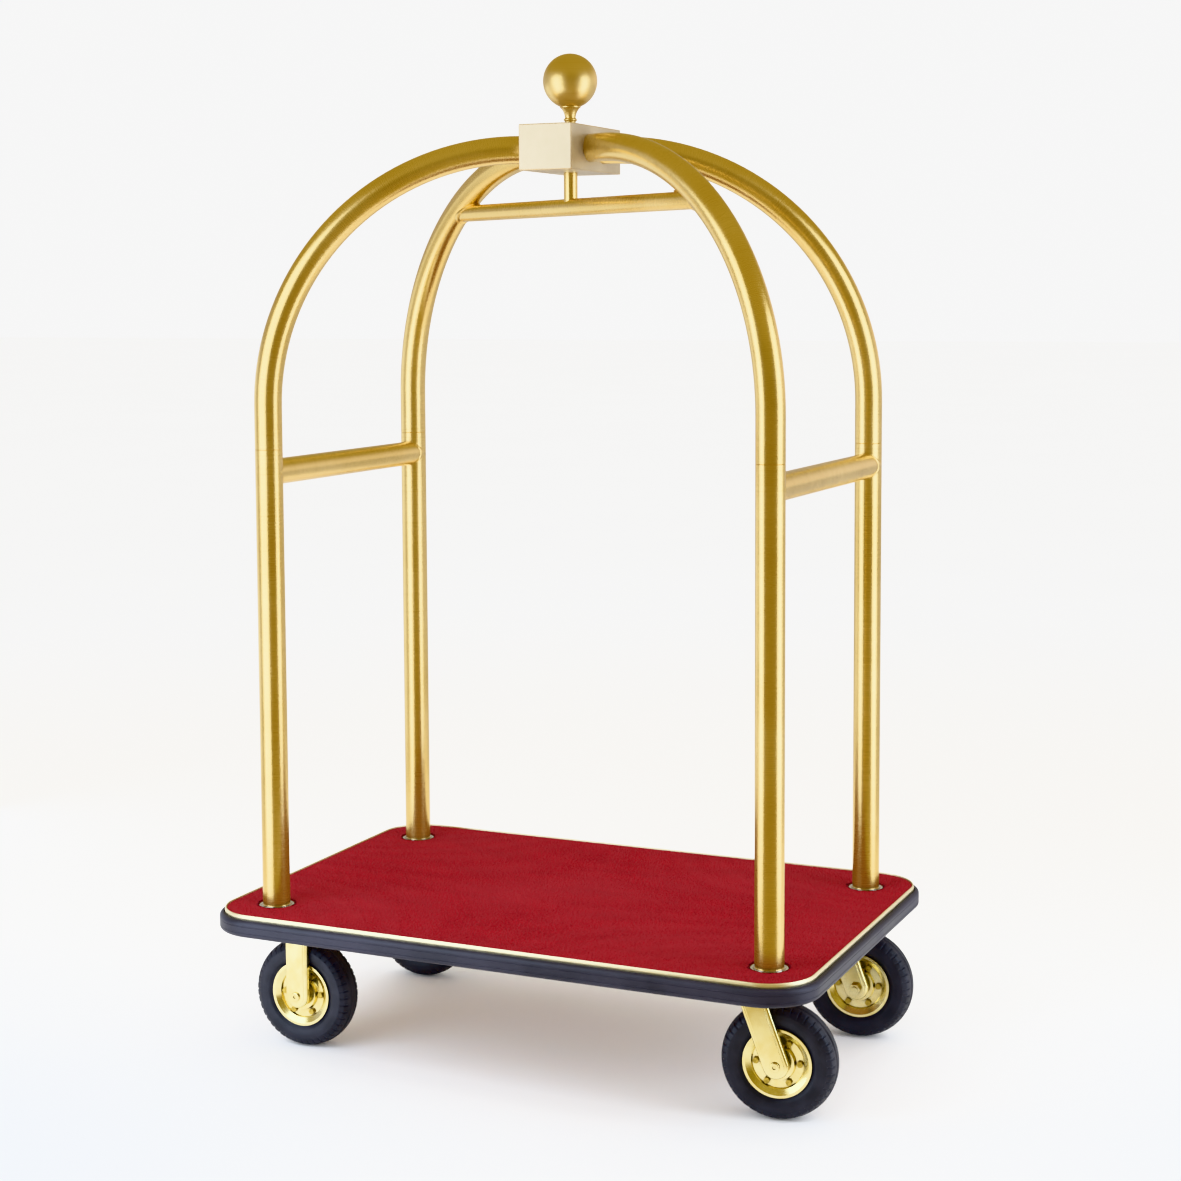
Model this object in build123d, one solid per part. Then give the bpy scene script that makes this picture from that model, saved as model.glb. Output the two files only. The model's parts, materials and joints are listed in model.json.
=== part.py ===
from build123d import *
import os
from math import atan2, degrees, hypot, sqrt

# A birdcage luggage cart: a carpeted deck on two fixed and two swivelling wheels, with four
# posts whose arches meet in a hub under a ball, and a rail for hanging garments.
# The origin is on the floor under the middle of the deck. +X runs along the deck towards the
# swivelling wheels, and +Y goes to the back. All sizes are in millimetres.

# Driving dimensions: tubes and frame
tube_radius = 25.4
tube_wall = 1.5
post_x = 488.0
post_y = 274.0
post_seam_z = 1129.0
arch_start_z = 1208.0
arch_radius = 467.0
crossbar_z = 1086.5
crossbar_radius = 24.0
rail_z = 1570.0
rail_radius = 16.0
stem_radius = 12.7
weld_size = 3.0
seam_groove = 0.7
touch = 0.05

# Driving dimensions: hub and finial
hub_length_x = 105.0
hub_length_y = 220.0
hub_height = 83.0
hub_wall = 5.0
ball_radius = 50.0
ball_centre_z = 1800.0

# Driving dimensions: deck
deck_half_length = 572.0
deck_half_width = 372.0
deck_corner = 82.0
board_bottom = 256.0
board_top = 274.0
carpet_thickness = 5.0
trim_thickness = 3.0
trim_bottom = 265.0
trim_lip = 0.5
bumper_reach = 10.0
bumper_bottom = 240.0
bumper_top = 271.5
stiffener_width = 25.0
stiffener_height = 15.0
stiffener_length = 1056.0
stiffener_inset = 31.0
stiffener_step = 300.0
weld_gap = 0.2

# Driving dimensions: casters
wheel_radius = 102.0
tyre_width = 58.0
rim_radius = 60.6
rim_half_width = 25.5
fixed_caster_x = -451.0
swivel_caster_x = 460.0
caster_y = 230.0
swivel_trail = 31.0
swivel_turn = {"front": 7.0, "back": 5.0}
plate_length = 106.0
plate_width = 86.0
plate_thickness = 4.0
plate_hole_x = 40.0
plate_hole_y = 26.0
leg_half_width = 23.0
leg_outside = 42.0
leg_depth = 10.0
sheet = 3.0
axle_radius = 6.0
running_gap = 0.05

# Derived heights and reaches
arch_top_z = arch_start_z + arch_radius
post_reach = hypot(post_x, post_y)
hub_top = arch_top_z + hub_height / 2
hub_bottom = arch_top_z - hub_height / 2
carpet_top = board_top + carpet_thickness
trim_top = carpet_top + trim_lip
plate_bottom = board_bottom - plate_thickness

corners = {
    "front_left": (-1, -1),
    "back_left": (-1, 1),
    "front_right": (1, -1),
    "back_right": (1, 1),
}
sides = {"front": -1, "back": 1}
parts = {}


# ---- small makers ----

def disc(radius, bottom, top):
    """A vertical round bar."""
    return Pos(0, 0, bottom) * extrude(Circle(radius), top - bottom)


def ring(outer, inner, bottom, top):
    """A vertical tube or washer."""
    return Pos(0, 0, bottom) * extrude(Circle(outer) - Circle(inner), top - bottom)


def hexagon(across_flats, bottom, top):
    """A vertical hexagonal head or nut."""
    outline = RegularPolygon(across_flats / 2, 6, major_radius=False)
    return Pos(0, 0, bottom) * extrude(outline, top - bottom)


def bar_along_x(radius, start, end):
    """A round bar along X from start to end."""
    return Pos(start, 0, 0) * Rot(0, 90, 0) * disc(radius, 0, end - start)


def bar_along_y(radius, start, end):
    """A round bar along Y from start to end."""
    return Pos(0, start, 0) * Rot(-90, 0, 0) * disc(radius, 0, end - start)


def spun(outline):
    """A solid of revolution about Z from (radius, height) points joined by straight lines."""
    return revolve(Plane.XZ * make_face(Polyline(*outline, close=True)), Axis.Z)


def slab(grow, bottom, top):
    """The deck's rounded outline, made larger by grow, as a plate."""
    length = 2 * (deck_half_length + grow)
    width = 2 * (deck_half_width + grow)
    outline = RectangleRounded(length, width, deck_corner + grow)
    return Pos(0, 0, bottom) * extrude(outline, top - bottom)


def group(solids):
    """Separate solids that share one sub-part."""
    return Compound(children=list(solids))


def at_posts(make):
    """One copy of a piece made on the Z axis at each of the four posts."""
    return [Pos(sx * post_x, sy * post_y, 0) * make() for sx, sy in corners.values()]


# ---- the deck ----

def caster_places():
    """Where the four caster plates are centred."""
    for x in (fixed_caster_x, swivel_caster_x):
        for side in sides.values():
            yield x, side * caster_y


def caster_screw_places():
    """Where the sixteen caster screws go up into the board."""
    for x, y in caster_places():
        for dx in (-plate_hole_x, plate_hole_x):
            for dy in (-plate_hole_y, plate_hole_y):
                yield x + dx, y + dy


post_bolt_radius = 5.0
post_bolt_flats = 16.0
washer_radius = 11.0
washer_thickness = 2.0
counterbore_top = board_bottom + 10.0
screw_radius = 4.0
screw_top = board_top - 3.0
hole_play = 0.5
bumper_round = 6.0


def make_board():
    board = slab(0, board_bottom, board_top)
    for pocket in at_posts(lambda: disc(washer_radius + hole_play, board_bottom, counterbore_top)):
        board -= pocket
    for hole in at_posts(lambda: disc(post_bolt_radius + hole_play, board_bottom, board_top)):
        board -= hole
    for x, y in caster_screw_places():
        board -= Pos(x, y, 0) * disc(screw_radius, board_bottom, screw_top)
    return board


def make_carpet():
    carpet = slab(0, board_top, carpet_top)
    for hole in at_posts(lambda: disc(base_ring_radius + hole_play, board_top, carpet_top)):
        carpet -= hole
    return carpet


def make_trim():
    return slab(trim_thickness, trim_bottom, trim_top) - slab(0, trim_bottom, trim_top)


def make_bumper():
    outer = slab(trim_thickness + bumper_reach, bumper_bottom, bumper_top)
    rims = outer.edges().group_by(Axis.Z)
    outer = fillet(rims[0] + rims[-1], bumper_round)
    outer -= slab(0, bumper_bottom, bumper_top)
    return outer - slab(trim_thickness, trim_bottom, bumper_top)


def stiffener(length):
    """A rectangular tube along X under the board, centred on the origin."""
    outside = Box(length, stiffener_width, stiffener_height)
    inside = Box(length, stiffener_width - 2 * tube_wall, stiffener_height - 2 * tube_wall)
    return outside - inside


def make_stiffeners():
    z = board_bottom - stiffener_height / 2
    side_y = deck_half_width - stiffener_inset
    cross_length = 2 * (side_y - weld_gap) - stiffener_width
    long_bars = [Pos(0, s * side_y, z) * stiffener(stiffener_length) for s in sides.values()]
    cross_bar = Rot(0, 0, 90) * stiffener(cross_length)
    cross_bars = [Pos(i * stiffener_step, 0, z) * cross_bar for i in (-1, 0, 1)]
    return group(long_bars + cross_bars)


# ---- the posts and arches ----

sleeve_half_length = 35.0
sleeve_wall = 2.0
plug_thickness = 12.0
base_ring_radius = 32.5
base_ring_thickness = 2.0
base_collar_wall = 2.5
base_collar_top = carpet_top - 1.0
hub_bolt_length = 32.0
hub_bolt_head = 6.4
hub_bolt_stand_off = 8.0
hub_bolt_washer_radius = 10.0
weld_reach = 45.0


def seam_cut():
    """A fine V-shaped groove round a post where its arch stands on it."""
    outside = tube_radius + seam_groove
    tip = (tube_radius - seam_groove, post_seam_z)
    half_mouth = 2 * seam_groove
    return spun([tip, (outside, post_seam_z + half_mouth), (outside, post_seam_z - half_mouth)])


def post_tube():
    tube = ring(tube_radius, tube_radius - tube_wall, board_top, post_seam_z)
    return tube - seam_cut()


def bent_bar(radius):
    """The filled arch shape at the Z axis, bending towards +X and on to the cart's middle."""
    rise = Line((0, 0, post_seam_z), (0, 0, arch_start_z))
    bend_mid = (
        arch_radius * (1 - sqrt(0.5)),
        0,
        arch_start_z + arch_radius * sqrt(0.5),
    )
    bend_end = (arch_radius, 0, arch_top_z)
    bend = ThreePointArc((0, 0, arch_start_z), bend_mid, bend_end)
    run = Line(bend_end, (post_reach, 0, arch_top_z))
    path = rise + bend + run
    return sweep(Pos(0, 0, post_seam_z) * Circle(radius), path=path)


def to_corner(shape, sx, sy):
    """Carry a shape made on the Z axis to a post, turned so that +X points at the middle."""
    heading = degrees(atan2(-sy * post_y, -sx * post_x))
    return Pos(sx * post_x, sy * post_y, 0) * Rot(0, 0, heading) * shape


def hub_block():
    return Pos(0, 0, arch_top_z) * Box(hub_length_x, hub_length_y, hub_height)


def make_arch(sx, sy):
    tube = bent_bar(tube_radius) - bent_bar(tube_radius - tube_wall)
    return to_corner(tube - seam_cut(), sx, sy) - hub_block()


def make_arch_plug(sx, sy):
    """A disc inside the arch's end, tapped for the bolt that pulls it to the hub."""
    face = post_reach - hub_length_x / 2 / (post_x / post_reach)
    start = face - 2 * plug_thickness
    plug = bar_along_x(tube_radius - tube_wall - touch, start, post_reach)
    plug -= bar_along_x(post_bolt_radius + touch, start, post_reach)
    return to_corner(Pos(0, 0, arch_top_z) * plug, sx, sy) - hub_block()


def make_hub_bolt(sx, sy):
    """A hex bolt from inside the hub, along the arch's end and into its plug."""
    inside_face = post_reach - (hub_length_x / 2 - hub_wall) / (post_x / post_reach)
    seat = inside_face + hub_bolt_stand_off
    head = Pos(seat, 0, 0) * Rot(0, 90, 0) * hexagon(post_bolt_flats, 0, hub_bolt_head)
    washer = bar_along_x(hub_bolt_washer_radius, seat - washer_thickness, seat)
    shank = bar_along_x(post_bolt_radius, seat - hub_bolt_length, seat)
    return to_corner(Pos(0, 0, arch_top_z) * (head + washer + shank), sx, sy)


def make_sleeve():
    outer = tube_radius - tube_wall - touch
    bottom = post_seam_z - sleeve_half_length
    return ring(outer, outer - sleeve_wall, bottom, bottom + 2 * sleeve_half_length)


def make_base_plug():
    plug = disc(tube_radius - tube_wall - touch, board_top, board_top + plug_thickness)
    return plug - disc(post_bolt_radius + touch, board_top, board_top + plug_thickness)


def make_base_ring():
    bore = tube_radius + touch
    flange = ring(base_ring_radius, bore, board_top, board_top + base_ring_thickness)
    return flange + ring(tube_radius + base_collar_wall, bore, board_top, base_collar_top)


def make_base_bolt():
    washer_bottom = counterbore_top - washer_thickness
    head = hexagon(post_bolt_flats, board_bottom + hole_play, washer_bottom)
    washer = disc(washer_radius, washer_bottom, counterbore_top)
    return head + washer + disc(post_bolt_radius, counterbore_top, board_top + plug_thickness)


def crossbar_at(sx, radius, overrun=0.0):
    bar = bar_along_y(radius, -post_y - overrun, post_y + overrun)
    return Pos(sx * post_x, 0, crossbar_z) * bar


def make_crossbar(sx):
    bar = crossbar_at(sx, crossbar_radius) - crossbar_at(sx, crossbar_radius - tube_wall, 1.0)
    for sy in sides.values():
        bar -= Pos(sx * post_x, sy * post_y, 0) * disc(tube_radius, board_top, post_seam_z)
    return bar


def make_crossbar_weld(sx, sy):
    """The saddle-shaped bead where a crossbar meets a post."""
    bead = crossbar_at(sx, crossbar_radius + weld_size / 2) - crossbar_at(sx, crossbar_radius, 1.0)
    around = ring(tube_radius + weld_size, tube_radius, board_top, post_seam_z)
    near_side = 2 * weld_reach
    near = Pos(sx * post_x, sy * post_y, crossbar_z) * Box(near_side, near_side, near_side)
    return bead & (Pos(sx * post_x, sy * post_y, 0) * around) & near


# ---- the hub, finial and garment rail ----

stud_radius = 6.0
stud_play = 0.3
stud_bottom = hub_bottom - 22.0
stud_top = ball_centre_z - 28.0
stud_nut_flats = 19.0
stud_nut_height = 10.0
hub_edge_round = 2.0
neck_foot_radius = 15.5
neck_foot_height = 2.0
neck_waist_radius = 9.8
neck_waist_height = 10.0
neck_bead_radius = 12.3
neck_bead_height = 6.0
neck_cup_radius = 17.0
neck_lip_radius = 19.0
neck_lip_height = 3.0
rail_half_length = 385.0
rail_heading = degrees(atan2(-post_y, post_x))
rail_weld_reach = 4.0


def make_hub():
    block = fillet(hub_block().edges(), hub_edge_round)
    floor = hub_bottom + hub_wall
    cavity_height = hub_height - hub_wall
    cavity = Box(hub_length_x - 2 * hub_wall, hub_length_y - 2 * hub_wall, cavity_height)
    block -= Pos(0, 0, floor + cavity_height / 2 - hub_wall) * cavity
    block -= disc(stud_radius + stud_play, hub_bottom, hub_top)
    for sx, sy in corners.values():
        bore = bar_along_x(post_bolt_radius + stud_play, arch_radius, post_reach)
        block -= to_corner(Pos(0, 0, arch_top_z) * bore, sx, sy)
    return block


def make_hub_plate():
    plate = Box(hub_length_x - 2 * hub_wall, hub_length_y - 2 * hub_wall, hub_wall)
    plate = Pos(0, 0, hub_bottom + hub_wall / 2) * plate
    return plate - disc(stud_radius + stud_play, hub_bottom, hub_top)


def make_ball():
    ball = Pos(0, 0, ball_centre_z) * Sphere(ball_radius)
    return ball - disc(stud_radius, ball_centre_z - ball_radius, stud_top)


def make_neck():
    """A turned neck: a flat foot, a flare, a waist with a bead round it, and a cup under the ball."""
    foot_top = hub_top + neck_foot_height
    bead_bottom = hub_top + neck_waist_height
    bead_top = bead_bottom + neck_bead_height
    lip_top = ball_centre_z - sqrt(ball_radius**2 - (neck_lip_radius - 0.5) ** 2)
    lip_bottom = lip_top - neck_lip_height
    foot = Line((neck_foot_radius, hub_top), (neck_foot_radius, foot_top))
    flare = ThreePointArc(
        (neck_foot_radius, foot_top),
        (neck_waist_radius + 1.3, foot_top + 3.0),
        (neck_waist_radius, bead_bottom),
    )
    bead = ThreePointArc(
        (neck_waist_radius, bead_bottom),
        (neck_bead_radius, (bead_bottom + bead_top) / 2),
        (neck_waist_radius, bead_top),
    )
    cup = ThreePointArc(
        (neck_waist_radius, bead_top),
        (neck_waist_radius + 2.2, (bead_top + lip_bottom) / 2 + 1.0),
        (neck_cup_radius, lip_bottom),
    )
    lip = Polyline(
        (neck_cup_radius, lip_bottom),
        (neck_lip_radius, lip_bottom + 1.0),
        (neck_lip_radius, lip_top),
    )
    close = Polyline(
        (neck_lip_radius, lip_top),
        (stud_radius, lip_top),
        (stud_radius, hub_top),
        (neck_foot_radius, hub_top),
    )
    profile = make_face([foot, flare, bead, cup, *lip.edges(), *close.edges()])
    neck = revolve(Plane.XZ * profile, Axis.Z)
    return neck - Pos(0, 0, ball_centre_z) * Sphere(ball_radius)


def make_stud():
    rod = disc(stud_radius, stud_bottom, stud_top)
    lower_seat = hub_bottom + hub_wall
    upper_seat = hub_top - hub_wall
    lower_nut = hexagon(stud_nut_flats, lower_seat, lower_seat + stud_nut_height)
    upper_nut = hexagon(stud_nut_flats, upper_seat - stud_nut_height, upper_seat)
    return rod + lower_nut + upper_nut


def make_stem():
    stem = ring(stem_radius, stud_radius + touch, rail_z, hub_bottom)
    return stem - rail_bar(rail_radius)


def rail_bar(radius):
    """A round bar on the rail's line, from one diagonal arch to the other."""
    bar = bar_along_x(radius, -rail_half_length, rail_half_length)
    return Pos(0, 0, rail_z) * Rot(0, 0, rail_heading) * bar


def rail_arches(radius):
    return [to_corner(bent_bar(radius), *corners[k]) for k in ("back_left", "front_right")]


def make_rail():
    rail = rail_bar(rail_radius) - rail_bar(rail_radius - tube_wall)
    for arch in rail_arches(tube_radius):
        rail -= arch
    return rail


def make_rail_welds():
    beads = []
    sleeve = rail_bar(rail_radius + weld_size) - rail_bar(rail_radius)
    for arch, core in zip(rail_arches(tube_radius + rail_weld_reach), rail_arches(tube_radius)):
        beads.append((sleeve & arch) - core)
    return group(beads)


# ---- the casters, made with the swivel or plate centre on the Z axis and the wheel along X ----

axle_z = wheel_radius
plate_corner = 12.0
screw_play = 0.4
screw_head_flats = 13.0
screw_head_height = 5.5
crown_top = plate_bottom - 10.0
crown_thickness = 5.0
crown_length = 84.0
crown_shift = -4.0
crown_corner = 20.0
leg_top_x = -20.0
leg_edge_round = 4.5
leg_border = 7.0
leg_panel_rise = 1.2
leg_panel_round = 0.8
strap_length = 200.0
race_radius = 30.0
race_lip = 6.0
race_wall = 3.0
race_play = 0.3
race_ball_radius = 3.0
race_ball_count = 24
kingpin_radius = 8.0
kingpin_collar = 4.0
kingpin_nut_flats = 24.0
kingpin_nut_height = 12.0
kingpin_end = 2.0
axle_head_radius = 8.5
axle_head_height = 4.0
axle_head_round = 2.0
axle_socket_flats = 7.0
axle_socket_depth = 2.0
axle_nut_flats = 19.0
axle_nut_height = 10.0
axle_end = 3.0
spacer_radius = 9.5
spacer_play = 0.3


def mounting_plate():
    outline = RectangleRounded(plate_length, plate_width, plate_corner)
    plate = Pos(0, 0, plate_bottom) * extrude(outline, plate_thickness)
    for dx in (-plate_hole_x, plate_hole_x):
        for dy in (-plate_hole_y, plate_hole_y):
            plate -= Pos(dx, dy, 0) * disc(screw_radius + screw_play, plate_bottom, board_bottom)
    return plate


def leg_outline(inset, trail, top_x, top):
    """A parallel-sided strap from (top_x, top) down to a round end about the axle."""
    lean = degrees(atan2(trail - top_x, top - axle_z))
    width = 2 * (leg_half_width - inset)
    strap = Circle(width / 2) + Pos(0, strap_length / 2) * Rectangle(width, strap_length)
    strap = Pos(trail, axle_z) * Rot(0, 0, lean) * strap
    below = Pos(trail / 2, top - inset - strap_length) * Rectangle(2 * strap_length, 2 * strap_length)
    return strap & below


def fork_leg(side, trail, top_x, top):
    """A pressed leg: a strap whose edge turns in towards the wheel, with a raised panel."""
    outer = extrude(Plane.XZ * leg_outline(0, trail, top_x, top), leg_panel_rise - leg_depth)
    face = outer.faces().sort_by(Axis.Y)[-1]
    outer = fillet(face.edges(), leg_edge_round)
    panel = extrude(Plane.XZ * leg_outline(leg_border, trail, top_x, top), -leg_depth)
    face = panel.faces().sort_by(Axis.Y)[-1]
    panel = fillet(face.edges(), leg_panel_round)
    inner = extrude(Plane.XZ * leg_outline(sheet, trail, top_x, top), -(leg_depth - sheet))
    leg = Pos(0, leg_outside - leg_depth, 0) * (outer + panel - inner)
    leg -= Pos(trail, 0, axle_z) * bar_along_y(axle_radius, 0, leg_outside)
    return leg if side > 0 else mirror(leg, Plane.XZ)


def make_fixed_fork():
    fork = mounting_plate()
    for side in sides.values():
        fork += fork_leg(side, 0, 0, plate_bottom)
    return fork


def make_swivel_plate():
    bowl_inside = race_radius + race_lip
    bowl = ring(bowl_inside + race_wall, bowl_inside, crown_top + 1.0, plate_bottom)
    race_bottom = crown_top + 2 * race_ball_radius + race_play
    race = ring(bowl_inside, kingpin_radius + kingpin_collar, race_bottom, plate_bottom)
    return mounting_plate() + bowl + race - disc(kingpin_radius, race_bottom, board_bottom)


def make_swivel_fork():
    crown_bottom = crown_top - crown_thickness
    outline = RectangleRounded(crown_length, 2 * leg_outside, crown_corner)
    fork = Pos(crown_shift, 0, crown_bottom) * extrude(outline, crown_thickness)
    for side in sides.values():
        fork += fork_leg(side, swivel_trail, leg_top_x, crown_top)
    return fork - disc(kingpin_radius + running_gap, crown_bottom, crown_top)


def make_swivel_balls():
    height = crown_top + race_ball_radius
    ball = Pos(race_radius, 0, height) * Sphere(race_ball_radius)
    return [Rot(0, 0, 360 / race_ball_count * i) * ball for i in range(race_ball_count)]


def make_kingpin():
    nut_top = crown_top - crown_thickness - 0.5
    nut_bottom = nut_top - kingpin_nut_height
    pin = disc(kingpin_radius, nut_bottom - kingpin_end, board_bottom)
    return pin + hexagon(kingpin_nut_flats, nut_bottom, nut_top)


def make_axle(outward):
    """A domed-head bolt through the fork with its nut and two spacers, head on the outward side."""
    head_face = leg_outside + axle_head_height
    head = bar_along_y(axle_head_radius, leg_outside, head_face)
    head = fillet(head.edges().sort_by(Axis.Y)[-1], axle_head_round)
    socket = hexagon(axle_socket_flats, 0, 2 * axle_socket_depth)
    head -= Pos(0, head_face - axle_socket_depth, 0) * Rot(-90, 0, 0) * socket
    nut_face = -leg_outside - axle_nut_height
    shank = bar_along_y(axle_radius, nut_face - axle_end, leg_outside)
    nut = Pos(0, nut_face, 0) * Rot(-90, 0, 0) * hexagon(axle_nut_flats, 0, axle_nut_height)
    nut -= bar_along_y(axle_radius + touch, nut_face, -leg_outside)
    spacer = bar_along_y(spacer_radius, bearing_outside + spacer_play, leg_outside - sheet)
    spacer -= bar_along_y(axle_radius + touch, 0, leg_outside)
    pieces = [head + shank, nut, spacer, mirror(spacer, Plane.XZ)]
    if outward < 0:
        pieces = [mirror(piece, Plane.XZ) for piece in pieces]
    return [Pos(0, 0, axle_z) * piece for piece in pieces]


# ---- the wheels, made about the Y axis with their middle at the axle's height ----

bearing_radius = 17.5
bearing_width = 10.0
bearing_outside = 23.0
shield_outer = 14.5
shield_inner = 9.0
shield_depth = 0.8
hub_tube_wall = 4.0
rim_bolt_circle = 38.5
rim_bolt_count = 6
rim_bolt_flats = 10.0
rim_bolt_head = 4.0
rim_bolt_nut = 5.0
plate_offset = 15.0
plate_inner_radius = 32.0
plate_outer_radius = 45.0
housing_radius = 29.5
dish_step = 4.5
rim_lip = 2.5
rim_sheet = 2.5
seat_radius = 58.0
bead_half_width = 21.0
bead_height = 3.5
bead_flare = 1.5
tyre_wall_radius = 78.0
shoulder_drop = 6.5
shoulder_inset = 5.5


def about_axle(shape):
    """Turn a solid of revolution about Z so that it spins about the axle."""
    return Pos(0, 0, axle_z) * Rot(-90, 0, 0) * shape


def make_tyre():
    half = tyre_width / 2
    bead_top = (seat_radius + bead_height, bead_half_width + bead_flare)
    shoulder = (wheel_radius - shoulder_drop, half - shoulder_inset)
    far_bead_top = (bead_top[0], -bead_top[1])
    far_shoulder = (shoulder[0], -shoulder[1])
    seat = Line((seat_radius, -bead_half_width), (seat_radius, bead_half_width))
    heel = Line((seat_radius, bead_half_width), bead_top)
    wall = ThreePointArc(bead_top, (tyre_wall_radius, half), shoulder)
    tread = ThreePointArc(shoulder, (wheel_radius, 0), far_shoulder)
    far_wall = ThreePointArc(far_shoulder, (tyre_wall_radius, -half), far_bead_top)
    far_heel = Line(far_bead_top, (seat_radius, -bead_half_width))
    profile = make_face([seat, heel, wall, tread, far_wall, far_heel])
    return about_axle(revolve(Plane.XZ * profile, Axis.Z))


def rim_half():
    """One pressed half of the rim: seat, lip, stepped dish and bearing housing."""
    seat_inside = seat_radius - rim_sheet
    plate_inside = plate_offset - rim_sheet
    housing_inside = bearing_outside - rim_sheet
    lip_bottom = rim_half_width - rim_lip
    outline = [
        (seat_inside, weld_gap / 2),
        (seat_radius, weld_gap / 2),
        (seat_radius, lip_bottom - 2.0),
        (rim_radius, lip_bottom),
        (rim_radius, rim_half_width),
        (seat_radius - 2.0, rim_half_width),
        (plate_outer_radius + 1.5, plate_offset + dish_step),
        (plate_outer_radius, plate_offset),
        (plate_inner_radius, plate_offset),
        (housing_radius, bearing_outside),
        (bearing_radius, bearing_outside),
        (bearing_radius, housing_inside),
        (housing_radius - 2.0, housing_inside),
        (plate_inner_radius - 2.0, plate_inside),
        (plate_outer_radius + 2.0, plate_inside),
        (plate_outer_radius + 4.0, plate_inside + dish_step),
        (seat_inside, lip_bottom - 1.0),
    ]
    return spun(outline)


def make_rim():
    half = rim_half()
    for i in range(rim_bolt_count):
        place = Rot(0, 0, 360 / rim_bolt_count * i) * Pos(rim_bolt_circle, 0, 0)
        half -= place * disc(screw_radius, 0, rim_half_width)
    other = mirror(half, Plane.XY)
    return [about_axle(half), about_axle(other)]


def make_rim_bolts():
    nut_face = -plate_offset - rim_bolt_nut
    head = hexagon(rim_bolt_flats, plate_offset, plate_offset + rim_bolt_head)
    nut = hexagon(rim_bolt_flats, nut_face, -plate_offset)
    bolt = head + disc(screw_radius - hole_play, nut_face, plate_offset) + nut
    bolts = []
    for i in range(rim_bolt_count):
        place = Rot(0, 0, 360 / rim_bolt_count * i) * Pos(rim_bolt_circle, 0, 0)
        bolts.append(place * bolt)
    return [about_axle(bolt) for bolt in bolts]


def make_wheel_hub():
    """Two ball bearings and the hub tube between them."""
    bore = axle_radius + running_gap
    inner = bearing_outside - bearing_width
    bearing = ring(bearing_radius, bore, inner, bearing_outside)
    bearing -= ring(shield_outer, shield_inner, bearing_outside - shield_depth, bearing_outside)
    spacer = ring(bearing_radius, bearing_radius - hub_tube_wall, -inner, inner)
    pieces = [bearing, mirror(bearing, Plane.XY), spacer]
    return [about_axle(piece) for piece in pieces]


# ---- put everything in its place ----

def place_fixed(shape, side):
    return Pos(fixed_caster_x, sides[side] * caster_y, 0) * shape


def place_plate(shape, side):
    return Pos(swivel_caster_x, sides[side] * caster_y, 0) * shape


def place_swivel(shape, side):
    return place_plate(Rot(0, 0, swivel_turn[side]) * shape, side)


def place_trailing(shape, side):
    """Moves a piece from the wheel's own centre to where the swivel fork carries it."""
    return place_swivel(Pos(swivel_trail, 0, 0) * shape, side)


def build_deck():
    parts["deck_board"] = make_board()
    parts["deck_stiffeners"] = make_stiffeners()
    parts["carpet"] = make_carpet()
    parts["edge_trim"] = make_trim()
    parts["bumper"] = make_bumper()


def build_frame():
    for corner, (sx, sy) in corners.items():
        parts["post_" + corner] = Pos(sx * post_x, sy * post_y, 0) * post_tube()
        parts["arch_" + corner] = make_arch(sx, sy)
    for name, sx in {"left": -1, "right": 1}.items():
        parts["crossbar_" + name] = make_crossbar(sx)
    parts["crossbar_welds"] = group(make_crossbar_weld(sx, sy) for sx, sy in corners.values())
    parts["splice_sleeves"] = group(at_posts(make_sleeve))
    parts["post_base_rings"] = group(at_posts(make_base_ring))
    parts["post_base_plugs"] = group(at_posts(make_base_plug))
    parts["post_base_bolts"] = group(at_posts(make_base_bolt))


def build_crown():
    parts["hub"] = make_hub()
    parts["hub_bottom_plate"] = make_hub_plate()
    parts["arch_end_plugs"] = group(make_arch_plug(sx, sy) for sx, sy in corners.values())
    parts["hub_bolts"] = group(make_hub_bolt(sx, sy) for sx, sy in corners.values())
    parts["finial_ball"] = make_ball()
    parts["finial_neck"] = make_neck()
    parts["finial_stud"] = make_stud()
    parts["hanger_stem"] = make_stem()
    parts["hanger_rail"] = make_rail()
    parts["hanger_welds"] = make_rail_welds()


def build_wheel(name, place):
    parts["tyre_" + name] = place(make_tyre())
    parts["rim_" + name] = group(place(piece) for piece in make_rim())
    parts["rim_bolts_" + name] = group(place(piece) for piece in make_rim_bolts())
    parts["wheel_hub_" + name] = group(place(piece) for piece in make_wheel_hub())


def build_casters():
    head = hexagon(screw_head_flats, plate_bottom - screw_head_height, plate_bottom)
    screw = head + disc(screw_radius, plate_bottom, screw_top)
    parts["caster_screws"] = group(Pos(x, y, 0) * screw for x, y in caster_screw_places())
    parts["kingpins"] = group(place_plate(make_kingpin(), side) for side in sides)
    fixed_axles = []
    for side, outward in sides.items():
        parts["fixed_fork_" + side] = place_fixed(make_fixed_fork(), side)
        fixed_axles += [place_fixed(piece, side) for piece in make_axle(outward)]
        build_wheel(side + "_left", lambda shape: place_fixed(shape, side))
    parts["fixed_axles"] = group(fixed_axles)
    for side, outward in sides.items():
        parts["swivel_plate_" + side] = place_plate(make_swivel_plate(), side)
        parts["swivel_fork_" + side] = place_swivel(make_swivel_fork(), side)
        balls = [place_swivel(ball, side) for ball in make_swivel_balls()]
        parts["swivel_balls_" + side] = group(balls)
        axle = [place_trailing(piece, side) for piece in make_axle(outward)]
        parts["swivel_axle_" + side] = group(axle)
        build_wheel(side + "_right", lambda shape: place_trailing(shape, side))


build_deck()
build_frame()
build_crown()
build_casters()

os.makedirs("parts", exist_ok=True)
for node, shape in parts.items():
    export_step(shape, f"parts/{node}.step")
print(len(parts), "sub-parts written")
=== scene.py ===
import json
from math import atan2, ceil, cos, hypot, pi, radians, sin

import bpy
import numpy as np
from mathutils import Matrix, Vector
from mathutils.geometry import delaunay_2d_cdt


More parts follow.
